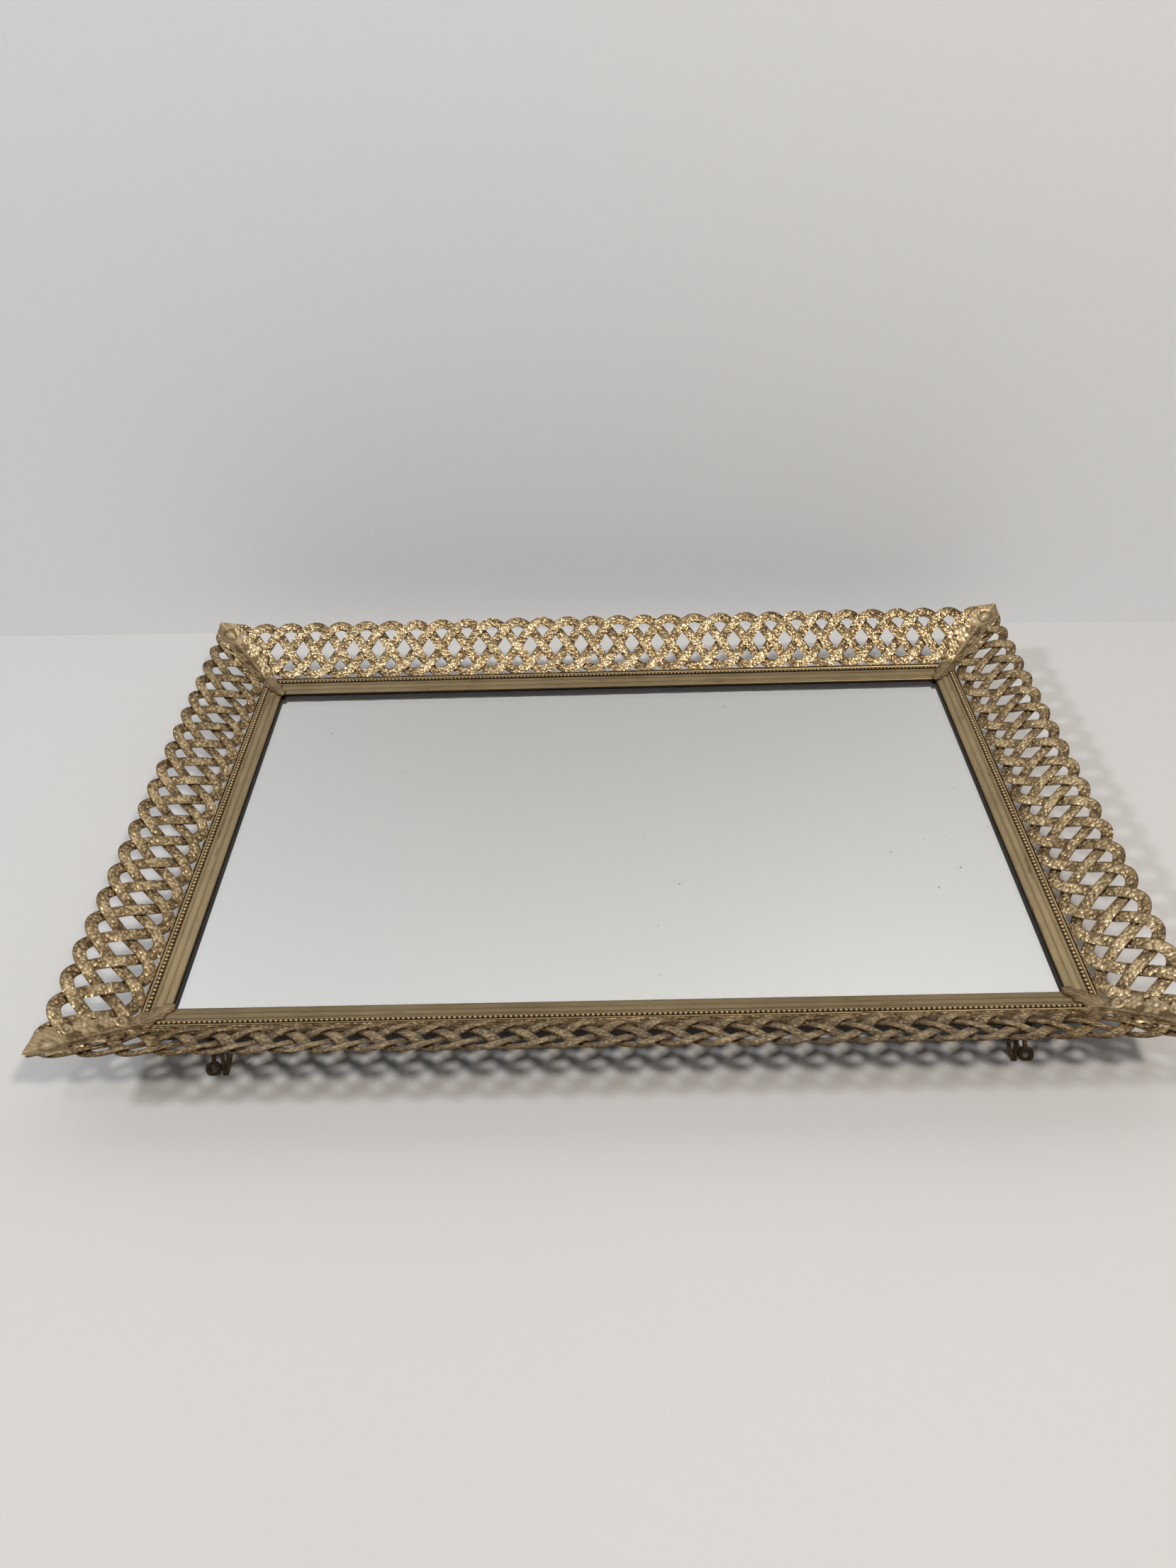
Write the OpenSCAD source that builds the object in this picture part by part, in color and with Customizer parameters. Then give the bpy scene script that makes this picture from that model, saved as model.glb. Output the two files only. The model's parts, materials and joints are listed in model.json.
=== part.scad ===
// Mirror vanity tray with a flared openwork gallery.
// The origin is on the table, below the middle of the mirror. +X runs along the tray, +Y points to
// its back and +Z up. All sizes are millimetres.

/* [Tray] */
// Length of the mirror opening, inside the moulding
opening_l = 320.7; // [240:0.1:400]
// Width of the mirror opening, inside the moulding
opening_w = 191.6; // [140:0.1:260]
// Height of the mirror's face above the table
mirror_z = 14; // [12:0.5:20]

/* [Mirror and backing] */
// Thickness of the mirror glass
glass_t = 3; // [2:0.5:4]
// How far the moulding covers the edge of the glass
glass_cover = 4.6; // [3:0.1:4.8]
// Thickness of the backing board
board_t = 2; // [1.5:0.1:2.5]
// Thickness of the felt under the board
felt_t = 0.8; // [0.6:0.1:1.2]

/* [Moulding] */
// Width of the rolled moulding
mould_w = 9.5; // [9:0.1:12]
// Height of the moulding's outer edge above the mirror
mould_rise = 3; // [2.6:0.1:4]
// Height of the moulding's inner lip above the mirror
lip_h = 0.9; // [0.8:0.1:1.2]
// Height of the ribs rolled along the moulding
rib_h = 0.5; // [0.2:0.05:0.6]
// Thickness of the moulding's sheet
mould_t = 0.6; // [0.4:0.1:0.7]
// Width of the flange that is turned in under the board
flange_w = 6.5; // [5.5:0.1:7]

/* [Gallery] */
// How far the gallery leans out, measured level
flare_out = 24.3; // [15:0.1:30]
// How far the gallery rises
flare_rise = 17.7; // [10:0.1:25]
// Distance from one crossing of the woven bands to the next
pitch = 12.7; // [12:0.1:14]
// Width of one woven band
band_w = 4.7; // [4:0.1:5.2]
// Thickness of the gallery's sheet
gallery_t = 0.8; // [0.6:0.1:1]
// Height of the flange that holds the gallery to the moulding
skirt_h = 4; // [3:0.1:4.5]
// Height of the plain strip below the lower scallops
foot_rail_h = 0.7; // [0.5:0.1:1]

/* [Corner ornaments] */
// Thickness of the stamped ornament
ornament_t = 0.9; // [0.6:0.1:1.2]
// How far a wing of the ornament reaches along the gallery
wing_w = 12; // [10:0.1:14]
// Diameter of the flower
flower_d = 9; // [7:0.1:10]
// Height of the flower above the wings
flower_h = 1.7; // [1:0.1:2]
// Length of the leaf at the tip
leaf_l = 13; // [11:0.1:14]
// Width of the leaf at the tip
leaf_w = 8; // [6:0.1:9]

/* [Feet] */
// Distance of each foot from the middle of the tray
foot_x = 142; // [100:1:145]
// Width of a foot
foot_w = 10; // [9:0.1:12]
// Angle at which the feet lean out from upright
foot_lean = 45; // [30:1:50]
// Thickness of a foot's sheet
foot_t = 1.4; // [1:0.1:1.6]
// Diameter of the rivet that holds a foot
rivet_d = 2.4; // [2:0.1:2.6]

/* [Hidden] */
$fn = 48;

// Plan sizes of the moulding's outside and of the glass
outer_l = opening_l + 2*mould_w;
outer_w = opening_w + 2*mould_w;
glass_l = opening_l + 2*glass_cover;
glass_w = opening_w + 2*glass_cover;

// Levels, from the table up
flange_top = mirror_z - glass_t - board_t;
flange_under = flange_top - mould_t;
gallery_z = mirror_z + mould_rise;

// The sloping face of the gallery
slope = sqrt(flare_out*flare_out + flare_rise*flare_rise);
tilt = atan2(flare_rise, flare_out);

// The woven bands are cosine waves, four pitches long, that follow each other a pitch apart
band_a = slope/2 - band_w/2;
arc_steps = 5;

// Gap left between a hole in the gallery and the mitre at its end
hole_edge = 1.2;

// Small clearances
gap = 0.3;
cut = 1;

// --- shared functions --------------------------------------------------------------------------

// Root of f between a and b, by halving
function root(f, a, b, n = 24) =
    let (m = (a + b)/2)
    n == 0 ? m : (f(a)*f(m) <= 0 ? root(f, a, m, n - 1) : root(f, m, b, n - 1));

// Point beside the centre line of a band that has its crest at x = 0, at the distance d above it
function band_point(t, d) =
    let (rise = -band_a*PI/(2*pitch)*sin(90*t/pitch), run = sqrt(1 + rise*rise))
    [t - d*rise/run, band_a*cos(90*t/pitch) + d/run];

// Height of the underside of the band, whose crest is at x = 0, over the place x
function band_under(x) =
    band_point(root(function(t) band_point(t, -band_w/2).x - x, -pitch, 2*pitch), -band_w/2).y;

// Points along one side of a band, from t = a to t = b
function band_side(a, b, d) =
    [for (i = [0 : arc_steps]) band_point(a + (b - a)*i/arc_steps, d)];

function moved(points, x) = [for (q = points) [q.x + x, q.y]];
function mirrored_x(points) = [for (i = [len(points) - 1 : -1 : 0]) [-points[i].x, points[i].y]];
function mirrored_y(points) = [for (i = [len(points) - 1 : -1 : 0]) [points[i].x, -points[i].y]];

// --- outlines of the gallery's openings ----------------------------------------------------------

// Half of the diamond, from its left point up and over to its right point, about x = 0
diamond_left = root(function(t) band_point(t, -band_w/2).y, -1.4*pitch, -0.5*pitch);
diamond_top = root(function(t) band_point(t, -band_w/2).x + pitch/2, -pitch, 0);
diamond_side = moved(band_side(diamond_left, diamond_top, -band_w/2), pitch/2);
diamond_half = concat(diamond_side, [for (q = mirrored_x(diamond_side)) if (q.x > 0.01) q]);
diamond = concat(diamond_half, [for (q = mirrored_y(diamond_half)) if (q.y < -0.01) q]);

// Fan under an upper scallop, about x = 0: up the right-hand band, then back along the scallop
fan_foot = root(function(t) band_point(t, band_w/2).x + pitch, -2*pitch, -0.5*pitch);
fan_corner = root(
    function(t) band_point(t, band_w/2).y - band_under(band_point(t, band_w/2).x + pitch),
    fan_foot, -0.1*pitch);
fan_end = band_point(fan_corner, band_w/2) + [pitch, 0];
fan_scallop = root(function(t) band_point(t, -band_w/2).x - fan_end.x, -pitch, pitch);
fan_right = moved(band_side(fan_foot, fan_corner, band_w/2), pitch);
fan_roof = band_side(fan_scallop, -fan_scallop, -band_w/2);
fan = concat(
    fan_right,
    [for (i = [1 : arc_steps - 1]) fan_roof[i]],
    [for (q = mirrored_x(fan_right)) if (q.x < -0.01) q]);

// Scalloped edge over one pitch, about x = 0, from right to left
scallop_end = root(function(t) band_point(t, band_w/2).x - pitch/2, 0, pitch);
scallop = band_side(scallop_end, -scallop_end, band_w/2);

// Gap between two lower scallops and the plain strip below them, about the valley at x = 0
rail_y = slope/2 - foot_rail_h;
rail_t = root(function(t) band_point(t, band_w/2).y - rail_y, 0, scallop_end);
valley_side = moved(band_side(rail_t, scallop_end, band_w/2), -pitch/2);
valley_half = [for (q = valley_side) [min(q.x, 0), -q.y]];
valley = concat(valley_half, [for (q = mirrored_x(valley_half)) if (q.x > 0.01) q]);

// --- mirror and backing ----------------------------------------------------------------------------

module plate(l, w, t, z) {
    translate([-l/2, -w/2, z])
        cube([l, w, t]);
}

module mirror_glass() {
    color("lightsteelblue")
        plate(glass_l, glass_w, glass_t, mirror_z - glass_t);
}

module backing_board() {
    color("sienna")
        plate(glass_l, glass_w, board_t, flange_top);
}

module felt_lining() {
    inset = mould_w - flange_w + gap;
    color("darkolivegreen")
        plate(opening_l + 2*inset, opening_w + 2*inset, felt_t, flange_top - felt_t);
}

// --- moulding -------------------------------------------------------------------------------------------

// Height of the moulding's face above the mirror, at the distance u out from the opening
function mould_top(u) =
    lip_h + (mould_rise - 0.1 - lip_h)*u/mould_w + rib_h*(1 - cos(3*360*u/mould_w))/2;

module mould_section() {
    steps = 24;
    face = [for (i = [0 : steps]) [i*mould_w/steps, mould_top(i*mould_w/steps)]];
    inner_w = mould_w - 2*mould_t;
    under = [for (i = [steps : -1 : 0])
        let (u = mould_t + i*inner_w/steps) [u, mould_top(u) - mould_t]];
    polygon(concat(
        [[0, 0]],
        face,
        [
            [mould_w, flange_under - mirror_z],
            [mould_w - flange_w, flange_under - mirror_z],
            [mould_w - flange_w, flange_top - mirror_z],
            [mould_w - mould_t, flange_top - mirror_z]
        ],
        under,
        [[mould_t, 0]]));
}

// One mitred length of moulding on the +Y side of an opening of the size l by w
module moulding(l, w, rivet_at) {
    difference() {
        intersection() {
            translate([-l/2 - mould_w, w/2, mirror_z])
                rotate([90, 0, 90])
                    linear_extrude(l + 2*mould_w)
                        mould_section();
            translate([0, 0, flange_under - cut])
                linear_extrude(mould_rise + mirror_z)
                    polygon([
                        [-l/2, w/2],
                        [l/2, w/2],
                        [l/2 + mould_w, w/2 + mould_w],
                        [-l/2 - mould_w, w/2 + mould_w]
                    ]);
        }
        for (x = rivet_at)
            translate([x, w/2 + mould_w - rivet_in, flange_under - cut])
                cylinder(d = rivet_d, h = mould_t + 2*cut);
    }
}

module moulding_front() {
    color("goldenrod") rotate([0, 0, 180]) moulding(opening_l, opening_w, [-foot_x, foot_x]);
}

module moulding_back() {
    color("goldenrod") moulding(opening_l, opening_w, [-foot_x, foot_x]);
}

module moulding_left() {
    color("goldenrod") rotate([0, 0, 90]) moulding(opening_w, opening_l, []);
}

module moulding_right() {
    color("goldenrod") rotate([0, 0, -90]) moulding(opening_w, opening_l, []);
}

// --- gallery -------------------------------------------------------------------------------------------

// Half length of the gallery's face at the distance y above the middle of its slope
function mitre(half, y) = half + (y + slope/2)*flare_out/slope;

// Whether every point of a hole at x lies clear of both mitres
function clear(hole, x, half) =
    min([for (q = hole) mitre(half, q.y) - abs(q.x + x)]) > hole_edge;

module holes(hole, first, half) {
    n = ceil(half/pitch) + 2;
    for (k = [-n : n])
        let (x = first + k*pitch)
            if (clear(hole, x, half))
                translate([x, 0])
                    polygon(hole);
}

// Face of one side, flat, with its slope along Y and its middle at the origin
module gallery_face(half) {
    n = ceil(half/pitch) + 2;
    top_end = mitre(half, slope/2);
    edge = [for (k = [n : -1 : -n]) for (q = moved(scallop, (k + 0.5)*pitch)) q];
    difference() {
        polygon(concat(
            [[-half, -slope/2], [half, -slope/2], [top_end, slope/2]],
            [for (i = [0 : len(edge) - 2])
                let (q = edge[i], next = edge[i + 1])
                if (abs(q.x) < mitre(half, q.y) - 2*hole_edge && norm(next - q) > 0.01) q],
            [[-top_end, slope/2]]));
        holes(diamond, 0, half);
        holes(fan, pitch/2, half);
        holes(mirrored_y(fan), pitch/2, half);
        holes(valley, 0, half);
    }
}

// One side of the gallery, on the +Y side of a moulding of the outside size l by w
module gallery(l, w) {
    translate([0, w/2, gallery_z]) {
        rotate([tilt, 0, 0])
            translate([0, slope/2, -gallery_t])
                linear_extrude(gallery_t)
                    gallery_face(l/2);
        translate([0, 0, -skirt_h])
            linear_extrude(skirt_h - 0.2)
                polygon([
                    [-l/2, 0],
                    [l/2, 0],
                    [l/2 + gallery_t, gallery_t],
                    [-l/2 - gallery_t, gallery_t]
                ]);
    }
}

module gallery_front() {
    color("gold") rotate([0, 0, 180]) gallery(outer_l, outer_w);
}

module gallery_back() {
    color("gold") gallery(outer_l, outer_w);
}

module gallery_left() {
    color("gold") rotate([0, 0, 90]) gallery(outer_w, outer_l);
}

module gallery_right() {
    color("gold") rotate([0, 0, -90]) gallery(outer_w, outer_l);
}

// --- corner ornaments --------------------------------------------------------------------------------

// The ornament's own frame has the moulding's outer corner at its origin and the tip towards +X +Y.

// Length along the mitre for each millimetre out
mitre_rate = norm([1, 1, flare_rise/flare_out]);
flower_at = 0.48*flare_out;
// Height of the flower and of the leaf over the mitre line, which is the bottom of a valley
valley_h = ornament_t + 1.5;
leaf_h = ornament_t + 1.2;

// Edge of a wing: distance along the gallery from the mitre, at the distance s up the slope
wing_edge = [[6.5, 0], [8.6, 6], [11.4, 11], [wing_w, 17], [11.6, 23], [9.4, slope]];

module wing() {
    rotate([tilt, 0, 0])
        linear_extrude(ornament_t)
            polygon(concat(
                [[0, 0]],
                [for (q = wing_edge) [q.y*flare_out/slope - q.x, q.y]],
                [[flare_out, slope]]));
}

// Places its children on the mitre line, at the distance r out from the corner, facing the
// middle of the tray, with their own +Y up the mitre
module on_mitre(r) {
    translate([r, r, r*flare_rise/flare_out])
        rotate([0, 0, -45])
            rotate([atan2(flare_rise, flare_out*sqrt(2)), 0, 0])
                children();
}

// Leaf outline of the length l and width w, pointed at both ends
module leaf_outline(l, w) {
    r = (l*l/4 + w*w/4)/w;
    intersection() {
        translate([r - w/2, 0]) circle(r);
        translate([w/2 - r, 0]) circle(r);
    }
}

// Tongue over the mitre of the moulding, down to the corner of the mirror
module tongue() {
    reach = mould_w + 1;
    fall = atan2(1.7, mould_w*sqrt(2));
    intersection() {
        translate([0, 0, -mould_rise])
            linear_extrude(2*mould_rise)
                polygon([[1, 1], [-6.5, 0.2], [-8, -5.5], [-reach, -reach], [-5.5, -8], [0.2, -6.5]]);
        translate([0, 0, 0.45])
            rotate([0, 0, -45])
                rotate([fall, 0, 0])
                    translate([-reach, -2*reach, 0])
                        cube([2*reach, 3*reach, ornament_t]);
    }
}

// Space above the sheet of a wing, a little way into it
module above_wing() {
    rotate([tilt, 0, 0])
        translate([-2*flare_out, -flare_out, ornament_t/3])
            cube([4*flare_out, 4*flare_out, 2*flare_out]);
}

module ornament() {
    wing();
    mirror([1, -1, 0]) wing();
    tongue();
    intersection() {
        union() {
            on_mitre(flower_at)
                cylinder(d = flower_d, h = valley_h + flower_h);
            on_mitre(flare_out - leaf_l/2/mitre_rate)
                linear_extrude(leaf_h)
                    leaf_outline(leaf_l, leaf_w);
        }
        above_wing();
        mirror([1, -1, 0]) above_wing();
    }
}

// The four corners are mirror images of the one at +X +Y
module at_corner(sx, sy) {
    mirror([sx < 0 ? 1 : 0, 0, 0])
        mirror([0, sy < 0 ? 1 : 0, 0])
            children();
}

module placed_ornament(sx, sy) {
    color("darkgoldenrod")
        at_corner(sx, sy)
            translate([outer_l/2, outer_w/2, gallery_z])
                ornament();
}

module ornament_front_left() { placed_ornament(-1, -1); }
module ornament_front_right() { placed_ornament(1, -1); }
module ornament_back_left() { placed_ornament(-1, 1); }
module ornament_back_right() { placed_ornament(1, 1); }

// --- corner keys inside the moulding -----------------------------------------------------------------

key_leg = 18;
key_w = mould_w - mould_t - glass_cover - 2*gap;
key_t = 2;

module corner_key(sx, sy) {
    inset = mould_t + gap;
    color("gray")
        at_corner(sx, sy)
            translate([outer_l/2 - inset, outer_w/2 - inset, flange_top])
                linear_extrude(key_t)
                    polygon([
                        [0, 0],
                        [-key_leg, 0],
                        [-key_leg, -key_w],
                        [-key_w, -key_w],
                        [-key_w, -key_leg],
                        [0, -key_leg]
                    ]);
}

module corner_key_front_left() { corner_key(-1, -1); }
module corner_key_front_right() { corner_key(1, -1); }
module corner_key_back_left() { corner_key(-1, 1); }
module corner_key_back_right() { corner_key(1, 1); }

// --- feet -----------------------------------------------------------------------------------------------

foot_tab_t = 1;
foot_tab_in = 5.5;
rivet_in = 2.8;
ring_r = 2.7;
stroke = 1.3;

// Flat outline of a foot, from its root at y = 0 down to past the table
module foot_outline(l) {
    ring_x = foot_w/2 - ring_r;
    ring_y = l - ring_r;
    translate([-foot_w/2, 0])
        square([foot_w, 2.4]);
    difference() {
        polygon([[-foot_w/2, 1], [0.6, 1], [-1.4, l], [-3, l]]);
        polygon([[-foot_w/2 + stroke, 2.4], [0.6 - stroke, 2.4], [-2.2, l - 2.4]]);
    }
    difference() {
        union() {
            translate([ring_x, ring_y]) circle(ring_r);
            translate([ring_x - stroke/2, 1]) square([stroke, ring_y - ring_r]);
        }
        translate([ring_x, ring_y]) circle(ring_r - stroke);
    }
}

module foot(sx, sy) {
    top = flange_under - foot_tab_t;
    length = top/cos(foot_lean) + foot_t*tan(foot_lean) + gap;
    color("peru")
        at_corner(sx, sy)
            translate([foot_x, outer_w/2, 0])
                difference() {
                    union() {
                        translate([-foot_w/2, -foot_tab_in, top])
                            cube([foot_w, foot_tab_in + foot_t*sin(foot_lean), foot_tab_t]);
                        translate([0, 0, top])
                            rotate([foot_lean - 90, 0, 0])
                                linear_extrude(foot_t)
                                    foot_outline(length);
                    }
                    translate([-foot_w, -foot_w, -foot_w])
                        cube([2*foot_w, 4*foot_w, foot_w]);
                    translate([0, -rivet_in, top - cut])
                        cylinder(d = rivet_d, h = foot_tab_t + 2*cut);
                }
}

module foot_front_left() { foot(-1, -1); }
module foot_front_right() { foot(1, -1); }
module foot_back_left() { foot(-1, 1); }
module foot_back_right() { foot(1, 1); }

// Rivets through the feet and the moulding's flange, with a head at each end
module foot_rivets() {
    head_d = 1.5*rivet_d;
    head_h = 0.6;
    under = flange_under - foot_tab_t;
    color("peru")
        for (sx = [-1, 1], sy = [-1, 1])
            translate([sx*foot_x, sy*(outer_w/2 - rivet_in), 0]) {
                translate([0, 0, under - head_h])
                    cylinder(d = head_d, h = head_h);
                translate([0, 0, under - head_h/2])
                    cylinder(d = rivet_d, h = flange_top - under + head_h);
                translate([0, 0, flange_top])
                    cylinder(d = head_d, h = head_h);
            }
}

mirror_glass();
backing_board();
felt_lining();
moulding_front();
moulding_back();
moulding_left();
moulding_right();
gallery_front();
gallery_back();
gallery_left();
gallery_right();
ornament_front_left();
ornament_front_right();
ornament_back_left();
ornament_back_right();
corner_key_front_left();
corner_key_front_right();
corner_key_back_left();
corner_key_back_right();
foot_front_left();
foot_front_right();
foot_back_left();
foot_back_right();
foot_rivets();
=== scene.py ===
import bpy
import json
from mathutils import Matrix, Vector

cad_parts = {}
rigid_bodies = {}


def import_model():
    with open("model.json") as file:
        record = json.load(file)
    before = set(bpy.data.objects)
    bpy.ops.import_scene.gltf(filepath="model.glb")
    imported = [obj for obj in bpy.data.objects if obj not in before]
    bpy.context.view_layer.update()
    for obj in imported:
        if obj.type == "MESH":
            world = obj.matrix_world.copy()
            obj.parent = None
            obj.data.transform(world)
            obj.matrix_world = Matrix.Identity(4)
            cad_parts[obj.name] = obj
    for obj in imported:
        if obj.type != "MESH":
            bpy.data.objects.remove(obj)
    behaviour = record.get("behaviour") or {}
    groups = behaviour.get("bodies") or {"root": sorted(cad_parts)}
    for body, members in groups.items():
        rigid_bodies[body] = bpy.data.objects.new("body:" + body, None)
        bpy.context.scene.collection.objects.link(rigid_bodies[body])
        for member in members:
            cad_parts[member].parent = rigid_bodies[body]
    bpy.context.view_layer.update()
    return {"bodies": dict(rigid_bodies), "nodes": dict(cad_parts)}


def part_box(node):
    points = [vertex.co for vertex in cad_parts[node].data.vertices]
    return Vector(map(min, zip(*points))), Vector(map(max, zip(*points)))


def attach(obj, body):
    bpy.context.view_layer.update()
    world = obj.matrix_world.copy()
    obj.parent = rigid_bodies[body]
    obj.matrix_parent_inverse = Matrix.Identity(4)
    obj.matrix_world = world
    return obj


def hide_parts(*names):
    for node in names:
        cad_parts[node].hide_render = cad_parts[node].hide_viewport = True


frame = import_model()

import json
import math

import bmesh
import bpy
from mathutils import Matrix, Vector
from mathutils.noise import noise as lump

MM = 0.001
BODY = list(frame["bodies"])[0]

# Driving dimensions of the tray, in millimetres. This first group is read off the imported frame.
glass_low, glass_high = (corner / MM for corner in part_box("mirror_glass"))
wall_low, wall_high = (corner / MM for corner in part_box("moulding_back"))
MIRROR_Z = glass_high.z
HALF_L = wall_high.x
HALF_W = wall_high.y
FLANGE_Z = wall_low.z

# Moulding: its width, how far in from the outside its solid lip begins, its face, flange, sheet and beads.
MOULD_W = 9.5
LIP_IN = 4.6
LIP_TOP = 0.72
FACE_RISE = 2.1
FLANGE_W = 6.5
SHEET_T = 0.6
BEAD_AT = 7.85
BEAD_R = 0.84
BEADS_PER_PITCH = 7
BEAD_MARGIN = 7.0

# Gallery: its foot, its flare, and the bands that swing across it and lie over and under one another.
GALLERY_Z = 17.0
FLARE_OUT = 24.3
FLARE_RISE = 17.7
SLOPE = math.hypot(FLARE_OUT, FLARE_RISE)
TILT = math.atan2(FLARE_RISE, FLARE_OUT)
PITCH = 12.7
BAND_W = 4.7
BAND_SWING = SLOPE / 2 - BAND_W / 2
BAND_STEP = 0.27
BAND_CROWN = 0.20
BAND_DEPTH = 0.62
BAND_SUNK = 0.4
WEAVE_RISE = 0.36
STAMP = 2.67
FOOT_RAIL = ((0.12, -4.0), (0.62, -4.0), (0.78, -1.0), (0.95, -0.2), (0.75, 0.15), (0.3, 0.1), (0.12, -0.5))


# Camera
eye = bpy.data.cameras.new("camera")
eye.sensor_width = 36.0
eye.lens = 25.25
eye.clip_start = 0.01
eye.clip_end = 20.0
camera = bpy.data.objects.new("camera", eye)
bpy.context.scene.collection.objects.link(camera)
turns = (Matrix.Rotation(math.radians(1.1826), 4, "Z")
         @ Matrix.Rotation(math.radians(49.229), 4, "X")
         @ Matrix.Rotation(math.radians(-2.050), 4, "Z"))
camera.matrix_world = Matrix.Translation((-0.002139, -0.34420, 0.33155)) @ turns
bpy.context.scene.camera = camera


# Shader maths
class Value:
    """A socket that carries one number and adds Math nodes when it is used in an expression."""

    def __init__(self, finish, socket):
        self.finish = finish
        self.socket = socket

    def join(self, operation, first, second=0.0):
        made = self.finish.node("ShaderNodeMath", {"operation": operation}, {0: first, 1: second})
        return Value(self.finish, made.outputs[0])

    def __add__(self, other):
        return self.join("ADD", self, other)

    __radd__ = __add__

    def __sub__(self, other):
        return self.join("SUBTRACT", self, other)

    def __rsub__(self, other):
        return self.join("SUBTRACT", other, self)

    def __mul__(self, other):
        return self.join("MULTIPLY", self, other)

    __rmul__ = __mul__

    def __truediv__(self, other):
        return self.join("DIVIDE", self, other)

    def at_least(self, other):
        return self.join("MAXIMUM", self, other)

    def at_most(self, other):
        return self.join("MINIMUM", self, other)

    def within(self, low, high):
        return self.at_least(low).at_most(high)

    def fraction(self):
        return self.join("FRACT", self)

    def size(self):
        return self.join("ABSOLUTE", self)

    def band(self, low, high):
        """Runs smoothly from 0 at low to 1 at high."""
        made = self.finish.node("ShaderNodeMapRange", {"interpolation_type": "SMOOTHSTEP"},
                                {"Value": self, "From Min": low, "From Max": high})
        return Value(self.finish, made.outputs[0])


class Finish:
    """A material under construction, around one Principled BSDF."""

    def __init__(self, name, **constants):
        self.material = bpy.data.materials.new(name)
        self.material.use_nodes = True
        self.tree = self.material.node_tree
        self.tree.nodes.clear()
        self.output = self.node("ShaderNodeOutputMaterial")
        self.shader = self.node("ShaderNodeBsdfPrincipled", {}, constants)
        self.wire(self.shader.outputs[0], self.output.inputs["Surface"])
        self.place = self.node("ShaderNodeTexCoord").outputs["Object"]

    def wire(self, start, end):
        self.tree.links.new(start, end)

    def node(self, kind, settings=None, sockets=None):
        """Makes any node: settings first, among them a ramp's stops, then its sockets' values or links."""
        made = self.tree.nodes.new(kind)
        for key, value in (settings or {}).items():
            if key == "stops":
                ramp = made.color_ramp
                while len(ramp.elements) < len(value):
                    ramp.elements.new(0.5)
                for stop, (position, colour) in zip(ramp.elements, value):
                    stop.position = position
                    stop.color = (*colour, 1.0)
            else:
                setattr(made, key, value)
        for key, value in (sockets or {}).items():
            if isinstance(value, Value):
                self.wire(value.socket, made.inputs[key])
            elif isinstance(value, bpy.types.NodeSocket):
                self.wire(value, made.inputs[key])
            elif isinstance(value, tuple) and len(value) == 3 and made.inputs[key].type == "RGBA":
                made.inputs[key].default_value = (*value, 1.0)
            else:
                made.inputs[key].default_value = value
        return made

    def cloud(self, scale, detail=3.0, roughness=0.5, stretch=(1, 1, 1), turn=(0, 0, 0)):
        spot = self.node("ShaderNodeMapping", {},
                         {"Vector": self.place, "Scale": stretch, "Rotation": turn})
        made = self.node("ShaderNodeTexNoise", {}, {"Vector": spot.outputs[0], "Scale": scale,
                                                    "Detail": detail, "Roughness": roughness})
        return Value(self, made.outputs[0])

    def grains(self, scale, feature="F1"):
        made = self.node("ShaderNodeTexVoronoi", {"feature": feature},
                         {"Vector": self.place, "Scale": scale})
        return Value(self, made.outputs["Distance"])

    def vectors(self, operation, first, second, output):
        made = self.node("ShaderNodeVectorMath", {"operation": operation}, {0: first, 1: second})
        return made.outputs[output]

    def stored(self, name):
        return Value(self, self.node("ShaderNodeAttribute", {"attribute_name": name}).outputs["Fac"])

    def axes(self):
        made = self.node("ShaderNodeSeparateXYZ", {}, {0: self.place})
        return [Value(self, socket) for socket in made.outputs]

    def mix(self, share, first, second):
        made = self.node("ShaderNodeMix", {"data_type": "RGBA"}, {0: share, 6: first, 7: second})
        return made.outputs[2]

    def ramp(self, value, *stops):
        return self.node("ShaderNodeValToRGB", {"stops": stops}, {0: value}).outputs[0]

    def bump(self, height, distance, strength=1.0, under=None):
        sockets = {"Height": height, "Distance": distance, "Strength": strength}
        if under is not None:
            sockets["Normal"] = under
        return self.node("ShaderNodeBump", {}, sockets).outputs[0]

    def feed(self, **links):
        for key, value in links.items():
            socket = value.socket if isinstance(value, Value) else value
            self.wire(socket, self.shader.inputs[key.replace("_", " ")])
        return self.material


# Finishes
BRIGHT = (0.80, 0.615, 0.36)
AGED = (0.37, 0.265, 0.14)
BRONZE = (0.25, 0.165, 0.085)
# Near-black used both for real grime and for painted shade in hollows, grooves and under crossings.
SOOT_AND_SHADE = (0.075, 0.05, 0.03)


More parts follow.
